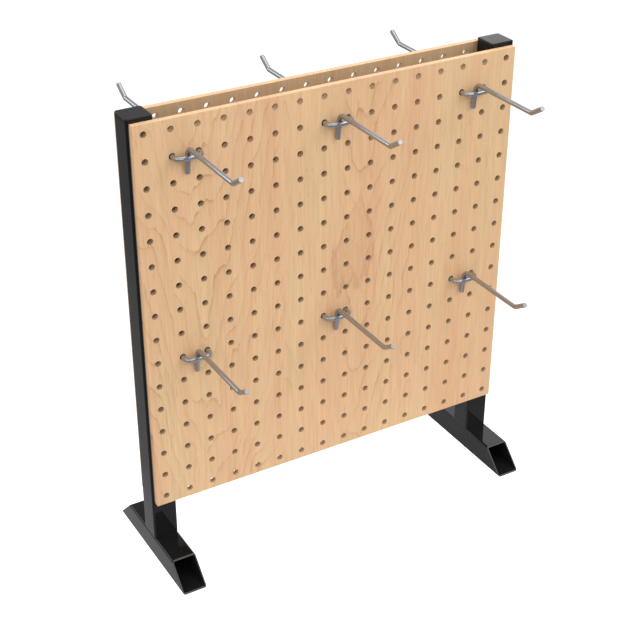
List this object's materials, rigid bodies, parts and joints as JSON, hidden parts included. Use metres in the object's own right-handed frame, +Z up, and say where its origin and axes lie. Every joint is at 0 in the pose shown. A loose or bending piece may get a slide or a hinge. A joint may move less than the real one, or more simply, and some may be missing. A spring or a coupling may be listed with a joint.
{
  "type": "two-sided pegboard display stand",
  "caption": "Countertop pegboard display with a perforated wood board on each side of a square-tube steel stand, mitred feet, end caps and lift-out wire hooks.",
  "frame": {"origin": "on the counter, midway between the two feet and midway between the two boards", "axes": "+X to the right along the boards as seen from the front, +Y to the back through the boards, +Z up"},
  "size_m": [0.4064, 0.2512, 0.4739],
  "materials": {
    "maple_veneer": "satin",
    "black_paint": "gloss",
    "black_plastic": "matte",
    "steel_wire": "satin",
    "foam_tape": "matte"
  },
  "bodies": {
    "stand": {"left_upright": "black_paint", "right_upright": "black_paint", "left_foot": "black_paint", "right_foot": "black_paint", "left_cap": "black_plastic", "right_cap": "black_plastic", "front_board": "maple_veneer", "back_board": "maple_veneer", "left_front_tape": "foam_tape", "left_back_tape": "foam_tape", "right_front_tape": "foam_tape", "right_back_tape": "foam_tape"},
    "front_top_left_hook": {"front_top_left_arm": "steel_wire", "front_top_left_crossbar": "steel_wire"},
    "front_top_middle_hook": {"front_top_middle_arm": "steel_wire", "front_top_middle_crossbar": "steel_wire"},
    "front_top_right_hook": {"front_top_right_arm": "steel_wire", "front_top_right_crossbar": "steel_wire"},
    "front_bottom_left_hook": {"front_bottom_left_arm": "steel_wire", "front_bottom_left_crossbar": "steel_wire"},
    "front_bottom_middle_hook": {"front_bottom_middle_arm": "steel_wire", "front_bottom_middle_crossbar": "steel_wire"},
    "front_bottom_right_hook": {"front_bottom_right_arm": "steel_wire", "front_bottom_right_crossbar": "steel_wire"},
    "back_top_left_hook": {"back_top_left_arm": "steel_wire", "back_top_left_crossbar": "steel_wire"},
    "back_top_middle_hook": {"back_top_middle_arm": "steel_wire", "back_top_middle_crossbar": "steel_wire"},
    "back_top_right_hook": {"back_top_right_arm": "steel_wire", "back_top_right_crossbar": "steel_wire"},
    "back_bottom_left_hook": {"back_bottom_left_arm": "steel_wire", "back_bottom_left_crossbar": "steel_wire"},
    "back_bottom_middle_hook": {"back_bottom_middle_arm": "steel_wire", "back_bottom_middle_crossbar": "steel_wire"},
    "back_bottom_right_hook": {"back_bottom_right_arm": "steel_wire", "back_bottom_right_crossbar": "steel_wire"}
  },
  "joints": [
    {"name": "front_top_left_hook_lift", "type": "hinge", "parent": "stand", "child": "front_top_left_hook", "pos_m": [-0.1524, -0.01605, 0.4468], "axis": [-1, 0, 0], "range_deg": [0, 70]},
    {"name": "front_top_middle_hook_lift", "type": "hinge", "parent": "stand", "child": "front_top_middle_hook", "pos_m": [0, -0.01605, 0.4468], "axis": [-1, 0, 0], "range_deg": [0, 70]},
    {"name": "front_top_right_hook_lift", "type": "hinge", "parent": "stand", "child": "front_top_right_hook", "pos_m": [0.1524, -0.01605, 0.4468], "axis": [-1, 0, 0], "range_deg": [0, 70]},
    {"name": "front_bottom_left_hook_lift", "type": "hinge", "parent": "stand", "child": "front_bottom_left_hook", "pos_m": [-0.1524, -0.01605, 0.2436], "axis": [-1, 0, 0], "range_deg": [0, 70]},
    {"name": "front_bottom_middle_hook_lift", "type": "hinge", "parent": "stand", "child": "front_bottom_middle_hook", "pos_m": [0, -0.01605, 0.2436], "axis": [-1, 0, 0], "range_deg": [0, 70]},
    {"name": "front_bottom_right_hook_lift", "type": "hinge", "parent": "stand", "child": "front_bottom_right_hook", "pos_m": [0.1524, -0.01605, 0.2436], "axis": [-1, 0, 0], "range_deg": [0, 70]},
    {"name": "back_top_left_hook_lift", "type": "hinge", "parent": "stand", "child": "back_top_left_hook", "pos_m": [-0.1524, 0.01605, 0.4468], "axis": [1, 0, 0], "range_deg": [0, 70]},
    {"name": "back_top_middle_hook_lift", "type": "hinge", "parent": "stand", "child": "back_top_middle_hook", "pos_m": [0, 0.01605, 0.4468], "axis": [1, 0, 0], "range_deg": [0, 70]},
    {"name": "back_top_right_hook_lift", "type": "hinge", "parent": "stand", "child": "back_top_right_hook", "pos_m": [0.1524, 0.01605, 0.4468], "axis": [1, 0, 0], "range_deg": [0, 70]},
    {"name": "back_bottom_left_hook_lift", "type": "hinge", "parent": "stand", "child": "back_bottom_left_hook", "pos_m": [-0.1524, 0.01605, 0.2436], "axis": [1, 0, 0], "range_deg": [0, 70]},
    {"name": "back_bottom_middle_hook_lift", "type": "hinge", "parent": "stand", "child": "back_bottom_middle_hook", "pos_m": [0, 0.01605, 0.2436], "axis": [1, 0, 0], "range_deg": [0, 70]},
    {"name": "back_bottom_right_hook_lift", "type": "hinge", "parent": "stand", "child": "back_bottom_right_hook", "pos_m": [0.1524, 0.01605, 0.2436], "axis": [1, 0, 0], "range_deg": [0, 70]}
  ]
}
